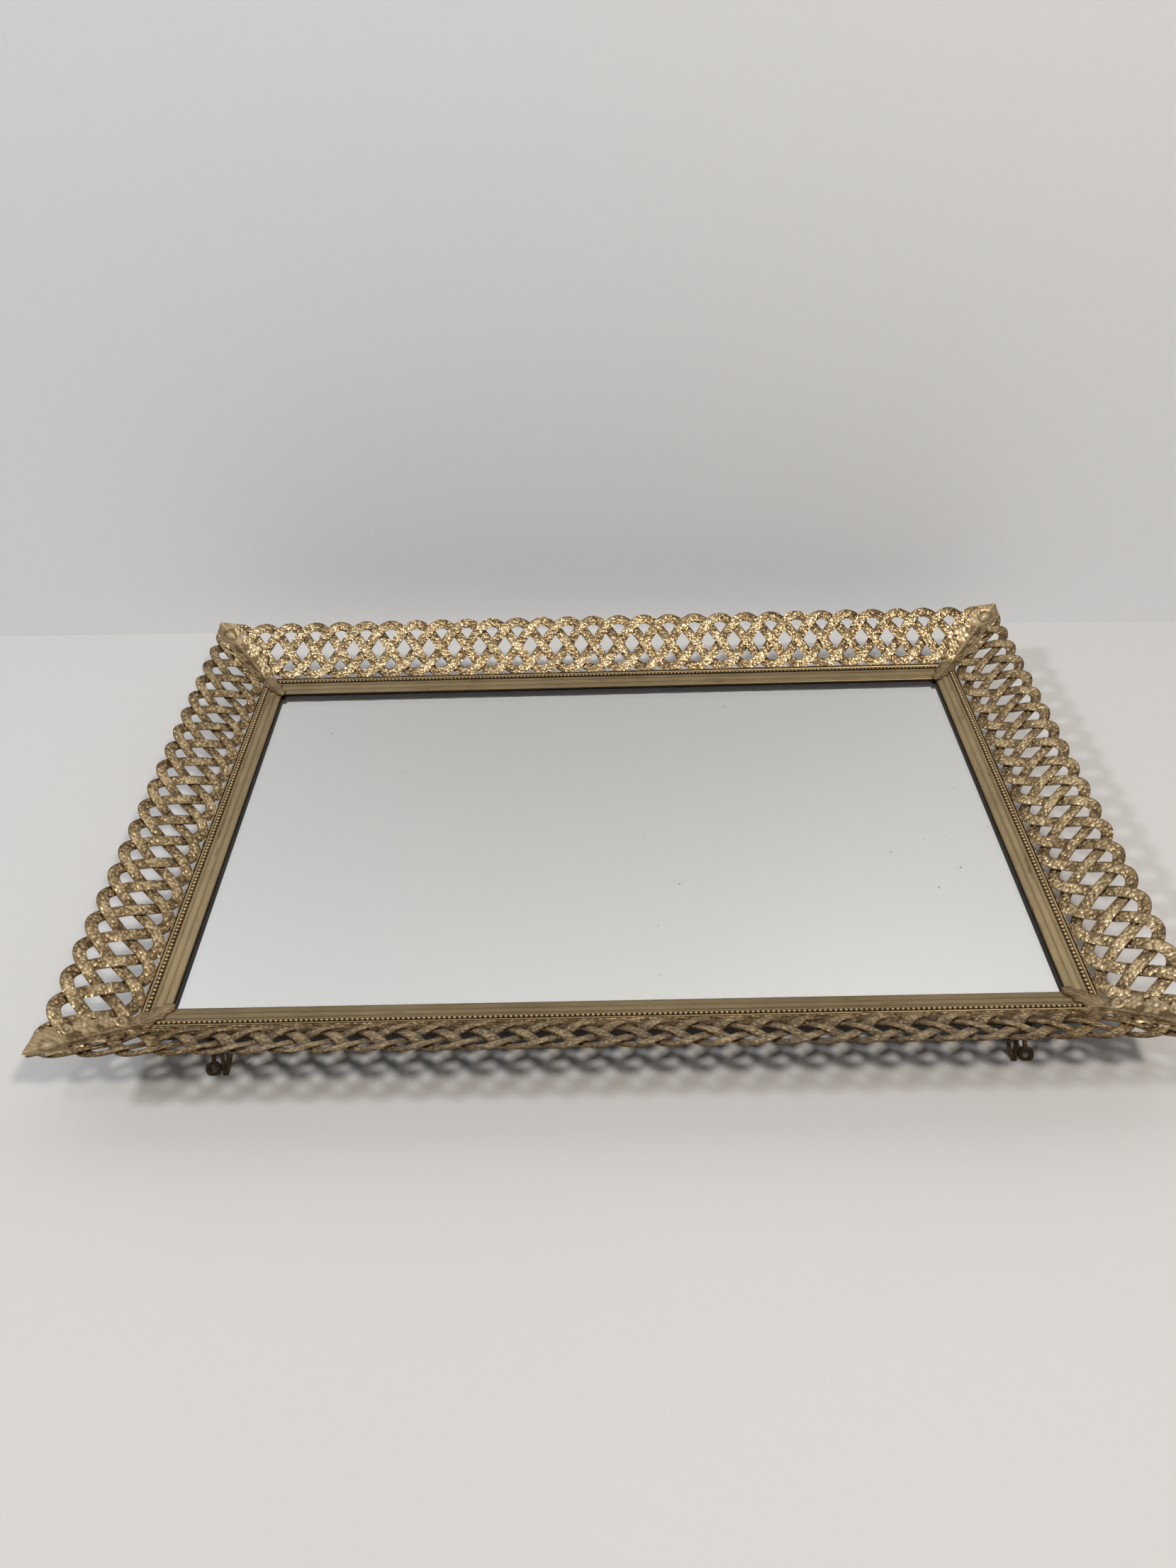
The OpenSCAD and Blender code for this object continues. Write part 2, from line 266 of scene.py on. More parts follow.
def gilt(name, bright, aged, bronze, rough, pebble, grime_and_shade=0.5):
    """Worn gold plate: bright on the high places, bronze and dark in the recesses, finely pebbled; the dark
    in the recesses is grime and painted shade.
    """
    f = Finish(name, Metallic=1.0, IOR=1.5)
    relief = f.stored("relief")
    cloud = f.cloud(55, 4, 0.6)
    blotch = f.cloud(260, 3, 0.6)
    grain = f.grains(1500)
    speck = f.grains(700)
    wear_and_shade = (relief * 0.9 + (cloud - 0.5) * 0.9 + (blotch - 0.5) * 0.5 + 0.08).within(0.0, 1.0)
    colour = f.mix(wear_and_shade.band(0.1, 0.5), bronze, aged)
    colour = f.mix(wear_and_shade.band(0.45, 0.95), colour, bright)
    # Recesses and low places go dark towards near-black: grime with small specks, and painted shade.
    recess_grime_and_shade = (1 - relief).band(0.72, 1.0) * grime_and_shade + (1 - speck * 6.0).at_least(0.0) * 0.25 * (1 - relief)
    colour = f.mix(recess_grime_and_shade.at_most(1.0), colour, SOOT_AND_SHADE)
    shine = (rough + (cloud - 0.5) * 0.2 + (1 - relief) * 0.12 + (blotch - 0.5) * 0.1)
    tiny = f.bump(grain, 0.00012 * pebble, 0.5)
    normal = f.bump(blotch, 0.0002 * pebble, 0.35, tiny)
    return f.feed(Base_Color=colour, Roughness=shine.within(0.12, 0.75), Normal=normal)


def stamped(name, bright, aged, bronze, rough):
    """The gallery's plate: gold with a stamped trail of bosses, beads and grains along each band."""
    f = Finish(name, Metallic=1.0, IOR=1.5)
    trail = f.node("ShaderNodeAttribute", {"attribute_name": "trail"}).outputs["Vector"]
    split = f.node("ShaderNodeSeparateXYZ", {}, {0: trail})
    along, across, _ = [Value(f, socket) for socket in split.outputs]
    wavy = along + (f.cloud(420, 2, 0.5) - 0.5) * 0.35
    from_boss = (wavy.fraction() - 0.5) * STAMP
    boss = (1 - (from_boss * from_boss + across * across) / 0.7).at_least(0.0)
    from_pip = ((wavy + 0.5).fraction() - 0.5) * STAMP
    beside = across.size() - 1.25
    pips = (1 - (from_pip * from_pip + beside * beside) / 0.3).at_least(0.0)
    sand = f.node("ShaderNodeTexVoronoi", {}, {"Vector": f.place, "Scale": 740})
    chance = Value(f, sand.outputs["Color"])
    crumb = (1 - Value(f, sand.outputs["Distance"]) * 1.35).at_least(0.0)
    offset = f.vectors("SUBTRACT", f.place, sand.outputs["Position"], 0)
    way = f.vectors("SUBTRACT", sand.outputs["Color"], (0.5, 0.5, 0.5), 0)
    tipped = Value(f, f.vectors("DOT_PRODUCT", offset, way, "Value")) / MM
    height = boss * 0.12 + pips * 0.12 + crumb * (0.09 + chance * 0.18) + tipped * 0.29
    # The relief attribute falls where a band passes under another and on the band sides, so colour taken
    # from it carries painted shade there.
    relief = f.stored("relief")
    # Painted shade: the band edges are mixed towards bronze.
    rim = across.size().band(1.75, 2.3)
    high = (crumb * 0.40 + (chance - 0.5) * 0.4 + relief * 0.66 + boss * 0.1).within(0.0, 1.0)
    cloud = f.cloud(45, 4, 0.6)
    wear_and_shade = (high + (cloud - 0.5) * 0.5 - rim * 0.3).within(0.0, 1.0)
    colour = f.mix(wear_and_shade.band(0.1, 0.45), bronze, aged)
    colour = f.mix(wear_and_shade.band(0.45, 0.8), colour, bright)
    colour = f.mix(rim * 0.55, colour, bronze)
    # Painted shade with randomly darker grains: the low places between granules, the band sides and the
    # under-crossings go towards near-black.
    shade_and_dark_grains = (1 - high).band(0.5, 0.95) * 0.8
    colour = f.mix(shade_and_dark_grains, colour, SOOT_AND_SHADE)
    shine = (rough + (cloud - 0.5) * 0.16 + (1 - high) * 0.1).within(0.12, 0.7)
    normal = f.bump(height, MM, 1.0)
    return f.feed(Base_Color=colour, Roughness=shine, Normal=normal)


def drawn(name, bright, aged, bronze, rough, lengthwise):
    """The moulding's rolled plate: streaks along the length, grooves and the lip's underside darkened by
    stains and painted shade, bright worn ribs.
    """
    f = Finish(name, Metallic=1.0, IOR=1.5)
    relief = f.stored("relief")
    stretch = (0.04, 1, 1) if lengthwise else (1, 0.04, 1)
    streak = f.cloud(2600, 3, 0.6, stretch)
    stain = f.cloud(420, 4, 0.7, (0.12, 1, 1) if lengthwise else (1, 0.12, 1))
    cloud = f.cloud(38, 4, 0.6)
    speck = f.grains(420)
    wear_and_shade = (relief * 0.75 + (streak - 0.5) * 0.5 + (cloud - 0.5) * 0.6 + 0.1).within(0.0, 1.0)
    colour = f.mix(wear_and_shade.band(0.1, 0.5), bronze, aged)
    colour = f.mix(wear_and_shade.band(0.5, 0.95), colour, bright)
    # The grooves and the lip's underside go towards near-black: partly stains and specks, partly painted
    # shade.
    dirt_and_shade = (1 - relief).band(0.66, 0.95) * 0.9 + stain.band(0.6, 0.7) * 0.5
    dirt_and_shade = dirt_and_shade + (1 - speck * 5.0).at_least(0.0) * 0.3
    colour = f.mix(dirt_and_shade.at_most(0.95), colour, SOOT_AND_SHADE)
    shine = (rough + (cloud - 0.5) * 0.18 + (streak - 0.5) * 0.12 + dirt_and_shade * 0.25)
    fine = f.bump(streak, 0.00004, 0.5)
    normal = f.bump(cloud, 0.0004, 0.25, fine)
    return f.feed(Base_Color=colour, Roughness=shine.within(0.14, 0.75), Normal=normal)


def silver_back():
    """The silver behind the glass, lost in small spots mostly along the back edge, and its grey paint."""
    f = Finish("silver_layer", Metallic=1.0, IOR=1.5)
    x, y, _ = f.axes()
    from_end = glass_high.x * MM - x.size()
    from_side = glass_high.y * MM - y.size()
    inset = from_end.at_most(from_side) / MM
    spots = f.cloud(900, 3, 0.6)
    creep = f.cloud(90, 3, 0.6)
    near = 1 - (inset + (creep - 0.5) * 3.0).band(3.8, 6.2)
    rear = (y / MM + (creep - 0.5) * 0.9).band(glass_high.y - 8.6, glass_high.y - 7.9)
    lost = (near * 0.04 + rear * 0.52 + spots).band(0.78, 0.86)
    far = (f.cloud(330, 2, 0.5, turn=(0, 1, 2)) + (f.cloud(11, 2) - 0.5) * 0.4).band(0.815, 0.83)
    lost = (lost + far * 0.5).at_most(1.0)
    colour = f.mix(lost, (0.965, 0.975, 0.965), (0.035, 0.03, 0.027))
    under = f.node("ShaderNodeNewGeometry").outputs["Normal"]
    facing = Value(f, f.node("ShaderNodeSeparateXYZ", {}, {0: under}).outputs[2])
    down = (0 - facing).band(0.0, 0.5)
    colour = f.mix(down, colour, f.mix(creep, (0.23, 0.24, 0.25), (0.31, 0.32, 0.33)))
    shine = lost * 0.45 + down * 0.5
    metal = (1 - lost * 0.8) * (1 - down)
    return f.feed(Base_Color=colour, Roughness=shine.at_most(0.8), Metallic=metal.at_least(0.0))


def clear_glass():
    """Float glass with a faint, slightly uneven cool tint."""
    f = Finish("float_glass", **{"Transmission Weight": 1.0, "IOR": 1.5, "Roughness": 0.0})
    haze = f.cloud(140, 3, 0.6)
    colour = f.mix(haze, (0.985, 0.993, 0.99), (0.995, 0.998, 0.996))
    return f.feed(Base_Color=colour)


def hardboard():
    """Pressed brown fibre board."""
    f = Finish("pressed_board", Metallic=0.0, IOR=1.45)
    fibre = f.cloud(900, 4, 0.7, (1, 0.25, 1))
    strand = f.cloud(700, 4, 0.7, (0.25, 1, 1))
    shade = (fibre + strand) * 0.5
    colour = f.ramp(shade, (0.35, (0.10, 0.055, 0.03)), (0.5, (0.20, 0.12, 0.065)),
                    (0.65, (0.33, 0.21, 0.12)))
    rough = 0.72 + (shade - 0.5) * 0.3
    return f.feed(Base_Color=colour, Roughness=rough, Normal=f.bump(shade, 0.0002, 0.5))


def felt():
    """Dark green felt with loose fibres and a little lint."""
    f = Finish("green_felt", **{"Sheen Weight": 0.5, "Sheen Roughness": 0.5, "IOR": 1.4})
    fuzz = f.cloud(1500, 4, 0.75)
    clump = f.cloud(120, 3, 0.6)
    hair = 1 - f.grains(900, feature="DISTANCE_TO_EDGE") * 9.0
    shade = fuzz * 0.6 + clump * 0.4
    colour = f.ramp(shade, (0.35, (0.02, 0.065, 0.04)), (0.5, (0.04, 0.12, 0.075)),
                    (0.68, (0.09, 0.20, 0.13)))
    colour = f.mix(hair.at_least(0.0) * 0.25, colour, (0.14, 0.20, 0.15))
    rough = 0.9 + (fuzz - 0.5) * 0.1
    return f.feed(Base_Color=colour, Roughness=rough, Normal=f.bump(fuzz, 0.0005, 0.7))


def steel():
    """Plain mill steel with rolling streaks and a few rust blooms."""
    f = Finish("mill_steel", IOR=1.5)
    streak = f.cloud(1400, 3, 0.6, (0.1, 1, 1))
    bloom = f.cloud(160, 4, 0.6).band(0.6, 0.7)
    colour = f.mix(streak, (0.30, 0.30, 0.30), (0.46, 0.46, 0.45))
    colour = f.mix(bloom * 0.8, colour, (0.20, 0.085, 0.035))
    rough = 0.38 + streak * 0.15 + bloom * 0.3
    return f.feed(Base_Color=colour, Metallic=1 - bloom * 0.8, Roughness=rough,
                  Normal=f.bump(streak, 0.00005, 0.4))


def plain(name, low, high, scale, rough, glow):
    """A plain pale surface for the table or the backdrop, seen only from its front; its glow is painted
    light.
    """
    f = Finish(name, **{"IOR": 1.45, "Emission Strength": glow})
    broad = f.cloud(scale, 3, 0.5)
    fine = f.cloud(900, 3, 0.6)
    colour = f.mix(broad * 0.8 + fine * 0.2, low, high)
    # Painted glow colour: cooler and greyer near the bottom, white higher up.
    haze = f.mix(f.axes()[2].band(0.05, 0.5), (0.70, 0.72, 0.75), (1.0, 1.0, 1.0))
    f.feed(Base_Color=colour, Roughness=rough + (fine - 0.5) * 0.06, Normal=f.bump(fine, 0.00006, 0.3),
           Emission_Color=haze)
    behind = f.node("ShaderNodeNewGeometry").outputs["Backfacing"]
    clear = f.node("ShaderNodeBsdfTransparent").outputs[0]
    pick = f.node("ShaderNodeMixShader", {}, {0: behind, 1: f.shader.outputs[0], 2: clear})
    f.wire(pick.outputs[0], f.output.inputs["Surface"])
    return f.material


# Shared shaping helpers
def settle(bm, name, finish, stands_for, crease=35):
    """Turns a finished bmesh into a piece in metres, shaded and riding, and hides the CAD parts it stands
    for.
    """
    bmesh.ops.scale(bm, vec=(MM, MM, MM), verts=bm.verts)
    mesh = bpy.data.meshes.new(name)
    bm.to_mesh(mesh)
    bm.free()
    mesh.polygons.foreach_set("use_smooth", [crease > 0] * len(mesh.polygons))
    if crease > 0:
        mesh.set_sharp_from_angle(angle=math.radians(crease))
    piece = bpy.data.objects.new(name, mesh)
    bpy.context.scene.collection.objects.link(piece)
    mesh.materials.append(finish)
    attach(piece, BODY)
    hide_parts(*stands_for)
    return piece


def ease(value, low, high):
    share = min(max((value - low) / (high - low), 0.0), 1.0)
    return share * share * (3 - 2 * share)


def dome(distance, radius):
    return max(0.0, 1 - (distance / radius) ** 2)


def along_table(table, value):
    """Reads a smooth curve given by a few (place, value) stations."""
    if value <= table[0][0]:
        return table[0][1]
    for (a, low), (b, high) in zip(table, table[1:]):
        if value <= b:
            return low + (high - low) * ease(value, a, b)
    return table[-1][1]


def block(low, high):
    """A plain box between two corners."""
    bm = bmesh.new()
    bmesh.ops.create_cube(bm, size=1.0)
    bmesh.ops.scale(bm, verts=bm.verts, vec=tuple(h - l for h, l in zip(high, low)))
    bmesh.ops.translate(bm, verts=bm.verts, vec=tuple((h + l) / 2 for h, l in zip(high, low)))
    return bm


def mitre(bm, half):
    """Cuts a strip's ends at its two corner planes and closes the cuts."""
    for side in (-1, 1):
        everything = bm.verts[:] + bm.edges[:] + bm.faces[:]
        bmesh.ops.bisect_plane(bm, geom=everything, dist=1e-5, plane_co=(side * half, 0, 0),
                               plane_no=(side, -1, 0), clear_outer=True)
    rims = [edge for edge in bm.edges if edge.is_boundary]
    bmesh.ops.holes_fill(bm, edges=rims, sides=0)


def prism(bm, outline, half, relief, level):
    """A mitred bar: its outline, given as (outward, up), drawn out between the two corner planes."""
    ring = []
    for outward, up in outline:
        corner = bm.verts.new((-half - outward, outward, up))
        corner[relief] = level(outward, up) if callable(level) else level
        ring.append(corner)
    face = bm.faces.new(ring)
    drawn_out = bmesh.ops.extrude_face_region(bm, geom=[face])["geom"]
    for v in drawn_out:
        if isinstance(v, bmesh.types.BMVert):
            v.co.x = -v.co.x


def turned(bm, quarter):
    turn = Matrix.Rotation(math.radians(90 * quarter), 3, "Z")
    bmesh.ops.rotate(bm, verts=bm.verts, cent=(0, 0, 0), matrix=turn)


# Each side: name, quarter turns from the back side, half its wall's length, its wall's distance out.
SIDES = (("back", 0, HALF_L, HALF_W), ("left", 1, HALF_W, HALF_L),
         ("front", 2, HALF_L, HALF_W), ("right", 3, HALF_W, HALF_L))


# Woven galleries
def weave_level(steps):
    """Which way a band lies at a place given in pitches from its crest: 1 over, -1 under."""
    steps = (steps - 0.5) % 4 + 0.5
    if steps < 1.5:
        return math.cos(2 * math.pi * steps)
    if steps < 2.5:
        return -math.cos(math.pi * (steps - 1.5))
    if steps < 3.5:
        return -math.cos(2 * math.pi * steps)
    return math.cos(math.pi * (steps - 3.5))


def stamping(along, across):
    """Height of the stamped trail at a place along the band, in stamps, and across it, in millimetres."""
    a = (along % 1 - 0.5) * STAMP
    b = ((along + 0.5) % 1 - 0.5) * STAMP
    boss = dome(math.hypot(a, across), 0.95)
    pips = dome(math.hypot(b, abs(across) - 1.2), 0.65)
    edge = ease(abs(across), 1.75, 2.1)
    grit = lump(Vector((along * STAMP * 0.95, across * 0.95, 4.0)))
    fine = lump(Vector((along * STAMP * 1.9, across * 1.9, 8.0)))
    return 0.06 * boss + 0.07 * pips + 0.06 * edge + 0.16 * grit + 0.13 * fine


def woven_band(bm, trail, relief, phase, reach):
    """One closed ribbon that swings from the strip's foot to its rim and back in four pitches."""
    half = BAND_W / 2
    face = 8
    profile = [-half + BAND_W * i / face for i in range(face + 1)] + [half - 0.15, -half + 0.15, -half]
    rows = len(profile) - 1
    columns = int(2 * reach / BAND_STEP)
    made = bmesh.ops.create_grid(bm, x_segments=columns, y_segments=rows, size=1.0)["verts"]
    wave = math.pi / 2 / PITCH
    steps = 4000
    length = [0.0]
    for i in range(steps):
        x = -reach + 2 * reach * (i + 0.5) / steps
        rise = -BAND_SWING * wave * math.sin(wave * (x - phase))
        length.append(length[-1] + math.hypot(1, rise) * 2 * reach / steps)
    for v in made:
        x = v.co.x * reach
        row = round((v.co.y + 1) / 2 * rows)
        y = BAND_SWING * math.cos(wave * (x - phase))
        rise = -BAND_SWING * wave * math.sin(wave * (x - phase))
        tall = math.hypot(1, rise)
        across = profile[row]
        run = (v.co.x + 1) / 2 * steps
        i = min(int(run), steps - 1)
        along = (length[i] + (length[i + 1] - length[i]) * (run - i)) / STAMP
        over = WEAVE_RISE * weave_level((x - phase) / PITCH)
        if row <= face or row == rows:
            crown = BAND_CROWN * (1 - (across / half) ** 4)
            detail = stamping(along, across)
            level = over + crown + detail - 0.12
            # The relief rises where the band passes over and falls where it passes under: painted shade at
            # the crossings.
            v[relief] = min(1.0, max(0.0, 0.42 + over * 0.75 + detail * 1.2 + crown * 0.3))
        else:
            level = over - BAND_DEPTH
            # The band's sides and underside get a low relief: painted shade.
            v[relief] = 0.1
        v[trail] = Vector((along, across, 0.0))
        v.co = (x - rise / tall * across, y + across / tall, level - BAND_SUNK)
    bmesh.ops.remove_doubles(bm, verts=made, dist=1e-4)


def woven_gallery(side, quarter, half, wall, finish):
    bm = bmesh.new()
    trail = bm.verts.layers.float_vector.new("trail")
    relief = bm.verts.layers.float.new("relief")
    reach = half + FLARE_OUT + 1.0
    for band in range(4):
        woven_band(bm, trail, relief, (band + 0.5) * PITCH, reach)
    lean = Matrix.Rotation(TILT, 3, "X")
    bmesh.ops.translate(bm, verts=bm.verts, vec=(0, SLOPE / 2, 0))
    bmesh.ops.rotate(bm, verts=bm.verts, cent=(0, 0, 0), matrix=lean)
    mitre(bm, half)
    prism(bm, FOOT_RAIL, half, relief, 0.45)
    bmesh.ops.translate(bm, verts=bm.verts, vec=(0, wall, GALLERY_Z))
    bmesh.ops.recalc_face_normals(bm, faces=bm.faces)
    turned(bm, quarter)
    return settle(bm, "woven_gallery_" + side, finish, ["gallery_" + side], 50)


# Reeded mouldings
def face_height(u):
    """Height of the moulding's plain face over the mirror at a distance from the opening's edge."""
    return LIP_TOP + FACE_RISE * u / MOULD_W


def reeding(u):
    """The same height with the ribs, the bead channel and the rounded nose."""

    def rib(low, high, height):
        middle = (low + high) / 2
        spread = (high - low) / 2
        return height * math.sqrt(max(0.0, 1 - ((u - middle) / spread) ** 2))

    nose_r = 0.55
    nose = -0.62 * (1 - math.sqrt(max(0.0, 1 - (max(0.0, nose_r - u) / nose_r) ** 2)))
    return (face_height(u) + nose + rib(0.2, 3.0, 0.17) + rib(3.05, 5.6, 0.20) + rib(5.75, 6.95, 0.14)
            - 0.10 * rib(7.0, 8.7, 1.0) + rib(8.7, 9.5, 0.28))


def reeded_moulding(side, quarter, half, wall, finish):
    bm = bmesh.new()
    relief = bm.verts.layers.float.new("relief")
    steps = 76
    stations = [i * MOULD_W / steps for i in range(steps + 1)]
    outline = [(0.12 - MOULD_W, MIRROR_Z + 0.02)]
    outline += [(u - MOULD_W, MIRROR_Z + reeding(u)) for u in stations]
    outline += [(0.0, FLANGE_Z + 0.25), (-0.25, FLANGE_Z), (-FLANGE_W, FLANGE_Z)]
    outline += [(-FLANGE_W, FLANGE_Z + SHEET_T), (-SHEET_T, FLANGE_Z + SHEET_T)]
    outline += [(-SHEET_T, MIRROR_Z + 2.1), (-LIP_IN, MIRROR_Z + 1.1), (-LIP_IN, MIRROR_Z + 0.02)]

    def level(outward, up):
        # Painted shade: the lip's underside over the glass gets no relief, so it is painted near-black.
        if up < MIRROR_Z + 0.1:
            return 0.0
        if outward > -0.05:
            return 0.5
        return min(1.0, max(0.0, 0.3 + (up - MIRROR_Z - face_height(outward + MOULD_W)) * 3.4))

    prism(bm, outline, half, relief, level)
    spacing = PITCH / BEADS_PER_PITCH
    count = int((half - BEAD_MARGIN) * 2 / spacing)
    for i in range(count + 1):
        x = (i - count / 2) * spacing
        bead = bmesh.ops.create_uvsphere(bm, u_segments=8, v_segments=6, radius=BEAD_R)["verts"]
        bmesh.ops.delete(bm, geom=[v for v in bead if v.co.z < -0.3], context="VERTS")
        bead = [v for v in bead if v.is_valid]
        for v in bead:
            v[relief] = 0.3 + 1.2 * max(0.0, v.co.z)
        seat = (x, BEAD_AT - MOULD_W, MIRROR_Z + reeding(BEAD_AT) + 0.1)
        bmesh.ops.translate(bm, verts=bead, vec=seat)
    bmesh.ops.translate(bm, verts=bm.verts, vec=(0, wall, 0))
    bmesh.ops.recalc_face_normals(bm, faces=bm.faces)
    turned(bm, quarter)
    return settle(bm, "reeded_moulding_" + side, finish, ["moulding_" + side], 42)


# Corner ornaments
# Places are given out along the corner's diagonal and, where there are two, off to each side of it.
LEAF_FROM = 27.7
LEAF_HALF = 6.3
HALF_WIDTHS = ((-14.8, 0.7), (-13.0, 2.5), (-10.8, 2.1), (-8.4, 3.7), (-6.4, 2.9), (-3.6, 4.2),
               (-1.2, 3.4), (1.6, 5.4), (3.6, 4.7), (6.6, 7.7), (9.4, 6.6), (11.8, 7.9), (14.4, 6.3),
               (17.2, 7.5), (19.6, 6.3), (23.0, 7.2), (LEAF_FROM, LEAF_HALF))
TIP = FLARE_OUT * math.sqrt(2)
PETALS = 6
FLOWERS = ((13.4, 4.3, 3.9, 2.0), (7.0, 3.9, 2.7, 1.5))
SCROLLS = ((2.8, 2.6, 1.8, 0.7), (18.9, 4.6, 1.7, 0.6))
HOLES = ((17.4, 6.4, 0.7), (10.2, 5.4, 0.55), (21.6, 4.4, 0.6))
BERRY_AT = 26.5
ORNAMENT_T = 0.55


def leaf_width(m):
    """Half the ornament's width at a distance out along the corner's diagonal."""
    if m > LEAF_FROM:
        return max(0.05, min(LEAF_HALF, 1.3 * max(0.0, TIP - m) ** 0.86))
    return along_table(HALF_WIDTHS, m)


def fold(m, c):
    """Height of the folded corner under the ornament, over the foot of the gallery."""
    x = (m - c) / math.sqrt(2)
    y = (m + c) / math.sqrt(2)
    outward = max(x, y)
    softened = outward + 0.55 * math.exp(-(c / 1.8) ** 2) * ease(m, 2, 16)
    if outward > 0:
        return softened * FLARE_RISE / FLARE_OUT
    return 0.1 + 0.235 * outward


def flower(m, c, at_m, at_c, radius, height):
    """A stamped flower: domed petals round a beaded eye."""
    distance = math.hypot(m - at_m, c - at_c)
    if distance > radius * 1.1:
        return 0.0
    around = math.atan2(c - at_c, m - at_m)
    lobe = 0.5 + 0.5 * math.cos(PETALS * around)
    reach = radius * (0.80 + 0.20 * lobe)
    petal = dome(distance - reach * 0.62, reach * 0.42) * (0.45 + 0.55 * lobe ** 0.6)
    ray = 0.5 + 0.5 * math.cos(PETALS * 3 * around)
    vein = 0.18 * ray * ease(distance, radius * 0.3, radius * 0.6)
    eye_part = dome(distance, radius * 0.27)
    return height * (0.75 * petal + 0.95 * eye_part - vein * petal)


def scroll(m, c, at_m, at_c, radius, thick):
    """A rolled volute: a raised ring that tightens onto a round eye."""
    distance = math.hypot(m - at_m, c - at_c)
    around = math.atan2(c - at_c, m - at_m)
    ring = radius * (0.85 + 0.15 * math.cos(around))
    return dome(distance - ring, thick) + 1.1 * dome(distance, radius * 0.42)


def ornament_relief(m, c, width):
    edge = abs(c) / max(width, 0.3)
    height = 0.22 * dome(edge - 0.9, 0.14)
    # The leaf at the tip: a sunk midrib, slanted veins and a berry in a sunk ring.
    leaf = ease(m, 19.5, 22.5)
    veins = 0.5 + 0.5 * math.cos((m * 0.9 - abs(c) * 0.9) * 2 * math.pi / 2.1)
    blade = 0.7 * dome(c, width * 0.95) + 0.3 * veins * ease(abs(c), 0.5, 1.4)
    height += leaf * (blade - 0.35 * dome(c, 0.5))
    from_berry = math.hypot(m - BERRY_AT, c)
    height += 0.9 * dome(from_berry, 1.7) - 0.7 * dome(from_berry - 2.6, 0.8)
    # The beaded ridge along the corner, then a flower and a bud on each wing.
    beads = 0.5 + 0.5 * math.cos(m * 2 * math.pi / 1.9)
    height += ease(m, -1, 1) * (0.45 + 0.35 * beads) * dome(c, 0.85)
    for side in (-1, 1):
        for at, off, radius, tall in FLOWERS:
            height += flower(m, c, at, side * off, radius, tall)
        for at, off, radius, thick in SCROLLS:
            height += scroll(m, c, at, side * off, radius, thick)
        height += 0.6 * dome(math.hypot(m - 0.4, c - side * 4.9), 0.9)
    # The small leaf on the tongue.
    tongue = 1 - ease(m, -2.5, 0.5)
    barbs = 0.5 + 0.5 * math.cos((m + abs(c) * 1.2) * 2 * math.pi / 2.4)
    blade = 0.75 * dome(c, width) + 0.3 * barbs * ease(abs(c), 0.5, 1.3)
    height += tongue * (blade + 0.45 * dome(c, 0.6))
    return height


def pierced(m, c):
    """Where the sheet is cut through between the scrolls and the leaf."""
    return any(math.hypot(m - at, abs(c) - off) < size for at, off, size in HOLES)


def leaf_ornament(name, flip_x, flip_y, finish):
    bm = bmesh.new()
    relief = bm.verts.layers.float.new("relief")
    start = HALF_WIDTHS[0][0]
    bmesh.ops.create_grid(bm, x_segments=150, y_segments=48, size=1.0)
    cut = []
    for v in bm.verts:
        m = start + (TIP - start) * (v.co.x + 1) / 2
        width = leaf_width(m)
        c = v.co.y * width
        raised = ornament_relief(m, c, width)
        broad = lump(Vector((m * 1.1, c * 1.1, 3.0)))
        fine = lump(Vector((m * 2.3, c * 2.3, 9.0)))
        rough_up = 0.10 * broad + 0.06 * fine
        if pierced(m, c):
            cut.append(v)
        worn = (0.12 + 0.42 * raised + rough_up * 1.5) * (0.5 + 0.5 * ease(m, -3, 1))
        v[relief] = min(1.0, max(0.0, worn))
        drop = 0.75 * ease(abs(v.co.y), 0.86, 1.0)
        level = fold(m, c) + 0.6 + raised * 0.38 + rough_up * 0.8 - drop
        v.co = ((m - c) / math.sqrt(2), (m + c) / math.sqrt(2), level)
    bmesh.ops.delete(bm, geom=cut, context="VERTS")
    bmesh.ops.smooth_vert(bm, verts=bm.verts, factor=0.25, use_axis_x=False, use_axis_y=False,
                          use_axis_z=True)
    bmesh.ops.recalc_face_normals(bm, faces=bm.faces)
    bmesh.ops.solidify(bm, geom=bm.faces[:], thickness=ORNAMENT_T)
    bmesh.ops.translate(bm, verts=bm.verts, vec=(HALF_L, HALF_W, GALLERY_Z))
    bmesh.ops.scale(bm, verts=bm.verts, vec=(-1 if flip_x else 1, -1 if flip_y else 1, 1))
    bmesh.ops.recalc_face_normals(bm, faces=bm.faces)
    return settle(bm, "leaf_ornament_" + name, finish, ["ornament_" + name], 60)


# Mirror
def slab(low, high, edge, segments):
    bm = block(low, high)
    bmesh.ops.bevel(bm, geom=bm.edges[:], offset=edge, segments=segments, affect="EDGES", profile=0.5,
                    material=-1)
    return bm


def felt_lining(finish):
    low, high = (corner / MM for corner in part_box("felt_lining"))
    bm = block(low, high)
    level_edges = [e for e in bm.edges if abs(e.verts[0].co.z - e.verts[1].co.z) < 0.01]
    bmesh.ops.subdivide_edges(bm, edges=level_edges, cuts=60, use_grid_fill=True)
    for v in bm.verts:
        if v.co.z < low.z + 0.1:
            v.co.z += 0.12 * (1 + lump(v.co * 0.11)) + 0.06 * (1 + lump(v.co * 0.5))
    return settle(bm, "felt_sheet", finish, ["felt_lining"], 50)


# Build
gold_gallery = stamped("stamped_gold_gallery", BRIGHT, AGED, BRONZE, 0.26)
gold_ornament = gilt("cast_gold_ornament", (0.78, 0.63, 0.40), (0.46, 0.35, 0.205), (0.22, 0.15, 0.08),
                     0.30, 1.0, 0.5)
gold_foot = gilt("gold_foot_plate", BRIGHT, (0.48, 0.33, 0.17), BRONZE, 0.3, 0.8, 0.3)
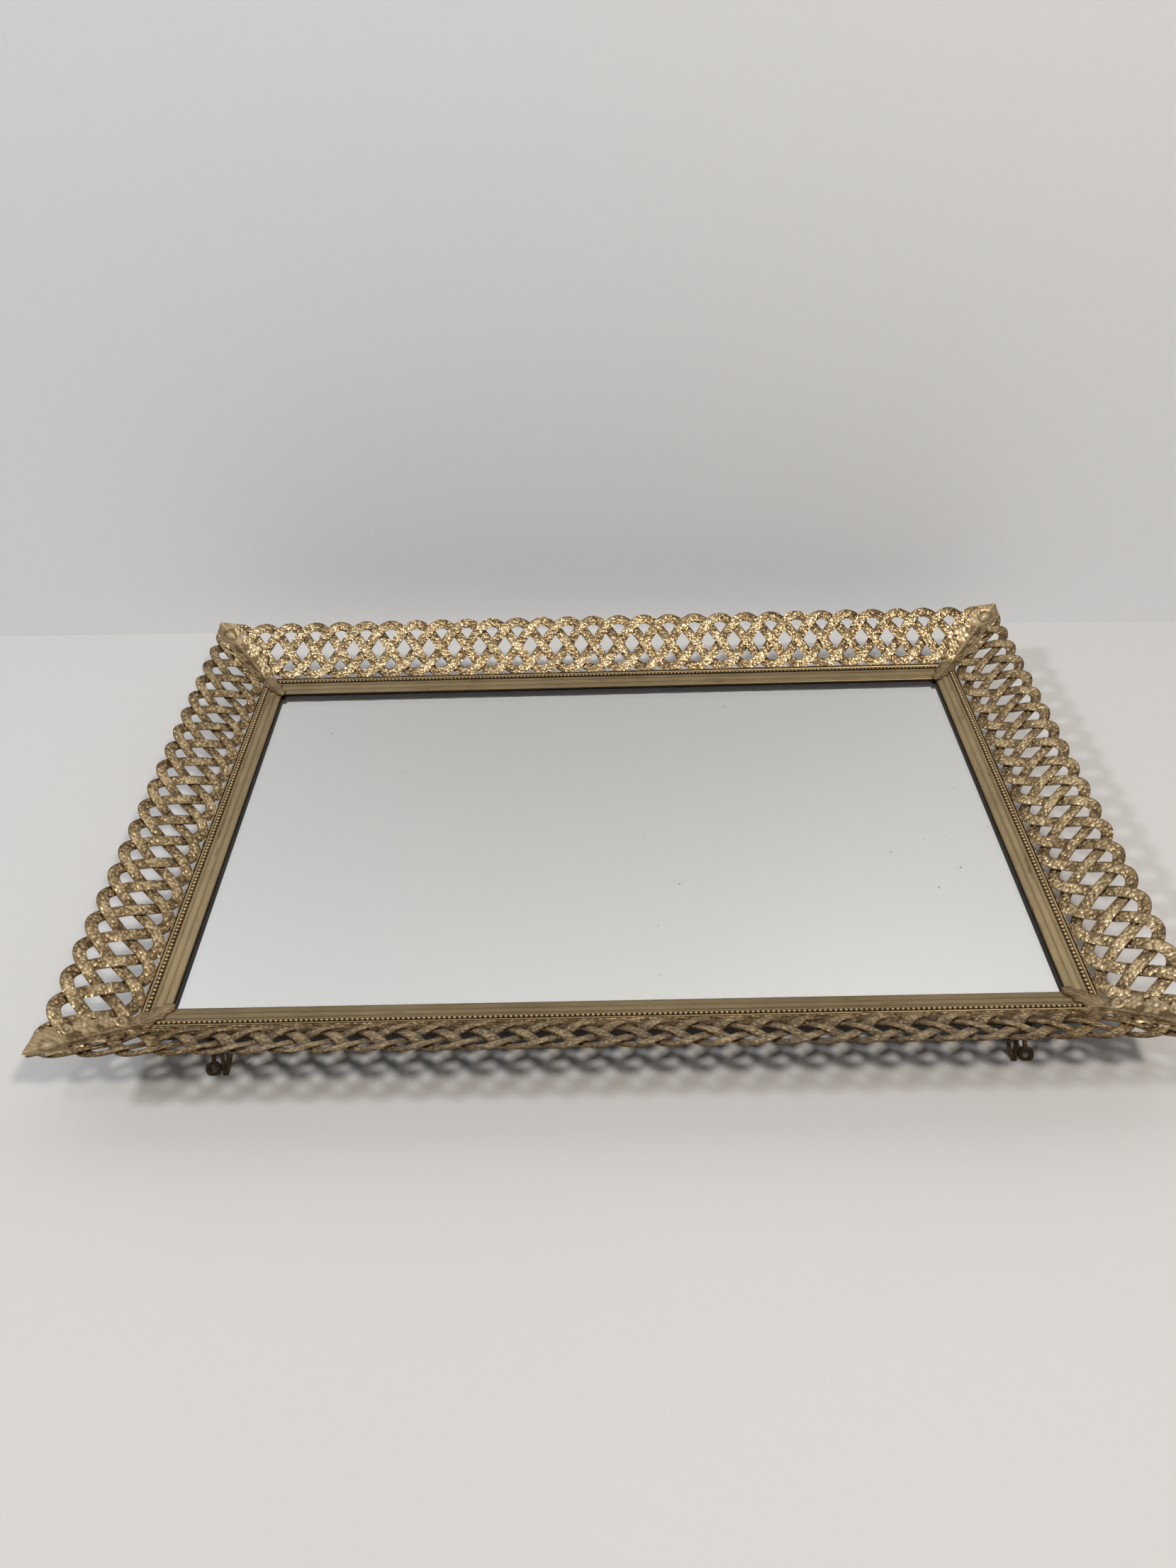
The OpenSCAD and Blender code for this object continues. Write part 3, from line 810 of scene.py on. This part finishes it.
# The long and short mouldings are one plate in two copies: the short sides' colours are painted lighter
# than the long sides', standing in for how the light falls on each.
gold_long_shaded_copy = drawn("drawn_gold_long", (0.40, 0.31, 0.18), (0.265, 0.20, 0.11), (0.11, 0.08, 0.04),
                  0.36, True)
gold_short_lit_copy = drawn("drawn_gold_short", (0.50, 0.39, 0.225), (0.34, 0.26, 0.145), (0.15, 0.105, 0.055),
                   0.38, False)

for side, quarter, half, wall in SIDES:
    reeded_moulding(side, quarter, half, wall, gold_short_lit_copy if quarter % 2 else gold_long_shaded_copy)
    woven_gallery(side, quarter, half, wall, gold_gallery)

for name, flip_x, flip_y in (("back_right", False, False), ("back_left", True, False),
                             ("front_right", False, True), ("front_left", True, True)):
    leaf_ornament(name, flip_x, flip_y, gold_ornament)

# Inside the CAD glass's own thickness, the silver layer lies under the clear part, a hair apart from it.
SILVER_ROOM = 0.06
SILVER_GAP = 0.01
silver_z = glass_low.z + SILVER_ROOM
clear_part = slab(Vector((glass_low.x, glass_low.y, silver_z)), glass_high, 0.25, 2)
settle(clear_part, "glass_sheet", clear_glass(), ["mirror_glass"], 0)
silver_part = slab(glass_low, Vector((glass_high.x, glass_high.y, silver_z - SILVER_GAP)), 0.01, 1)
settle(silver_part, "silvering", silver_back(), ["mirror_glass"], 0)

lining = felt_lining(felt())


def refinish(node, finish):
    """Puts a finish on a CAD piece that keeps its own shape."""
    mesh = frame["nodes"][node].data
    mesh.materials.clear()
    mesh.materials.append(finish)


board = hardboard()
key_steel = steel()
rivet_brass = gilt("rivet_brass", (0.70, 0.50, 0.24), (0.52, 0.36, 0.16), (0.28, 0.18, 0.08), 0.3, 0.6, 0.2)
refinish("backing_board", board)
refinish("foot_rivets", rivet_brass)
for corner in ("front_left", "front_right", "back_left", "back_right"):
    refinish("corner_key_" + corner, key_steel)
    refinish("foot_" + corner, gold_foot)


# Stage
def backdrop(name, finish, middle, size, turn, tip):
    """A flat sheet of the stage, tipped up and then turned, with its middle at a place."""
    bm = bmesh.new()
    bmesh.ops.create_grid(bm, x_segments=2, y_segments=2, size=0.5)
    bmesh.ops.scale(bm, verts=bm.verts, vec=(size[0], size[1], 1))
    bmesh.ops.rotate(bm, verts=bm.verts, cent=(0, 0, 0), matrix=Matrix.Rotation(tip, 3, "X"))
    bmesh.ops.rotate(bm, verts=bm.verts, cent=(0, 0, 0), matrix=Matrix.Rotation(turn, 3, "Z"))
    bmesh.ops.translate(bm, verts=bm.verts, vec=middle)
    mesh = bpy.data.meshes.new(name)
    bm.to_mesh(mesh)
    bm.free()
    sheet = bpy.data.objects.new(name, mesh)
    bpy.context.scene.collection.objects.link(sheet)
    mesh.materials.append(finish)


table_paint = plain("pale_table", (0.715, 0.71, 0.70), (0.76, 0.755, 0.745), 3.0, 0.55, 0.0)
# The backdrop's small emission is a painted glow that lights the scene from behind.
wall_paint = plain("pale_backdrop", (0.73, 0.735, 0.74), (0.78, 0.785, 0.79), 2.5, 0.6, 0.16)
backdrop("table_top", table_paint, (0, 0, 0), (3.0, 2.4), 0.0, 0.0)
backdrop("back_panel", wall_paint, (-0.0064, 0.1713, 0.75), (3.0, 1.5), math.radians(-1.24), math.pi / 2)


# Light
world = bpy.data.worlds.new("soft_room")
bpy.context.scene.world = world
world.use_nodes = True
sky = world.node_tree.nodes["Background"].inputs
sky["Color"].default_value = (0.95, 0.97, 1.0, 1.0)
sky["Strength"].default_value = 0.09


def softbox(name, place, width, depth, power, tint):
    """A rectangular lamp turned to the middle of the table."""
    light = bpy.data.lights.new(name, "AREA")
    light.shape = "RECTANGLE"
    light.size = width
    light.size_y = depth
    light.energy = power
    light.color = tint
    lamp = bpy.data.objects.new(name, light)
    bpy.context.scene.collection.objects.link(lamp)
    lamp.location = place
    lamp.rotation_euler = (Vector((0, 0, 0)) - Vector(place)).to_track_quat("-Z", "Y").to_euler()


softbox("ceiling_panel", (0.0, -0.35, 1.6), 1.3, 1.1, 1.4, (1.0, 0.99, 0.98))
softbox("ceiling_lamp", (-0.12, -0.42, 1.5), 0.10, 0.10, 1.4, (1.0, 0.96, 0.90))
softbox("front_lamp", (0.47, -0.55, 1.08), 0.10, 0.10, 6.2, (1.0, 0.92, 0.83))
softbox("left_lamp", (-0.93, -0.25, 1.09), 0.12, 0.12, 5.4, (0.92, 0.95, 1.0))

bpy.context.scene.view_settings.view_transform = "Standard"
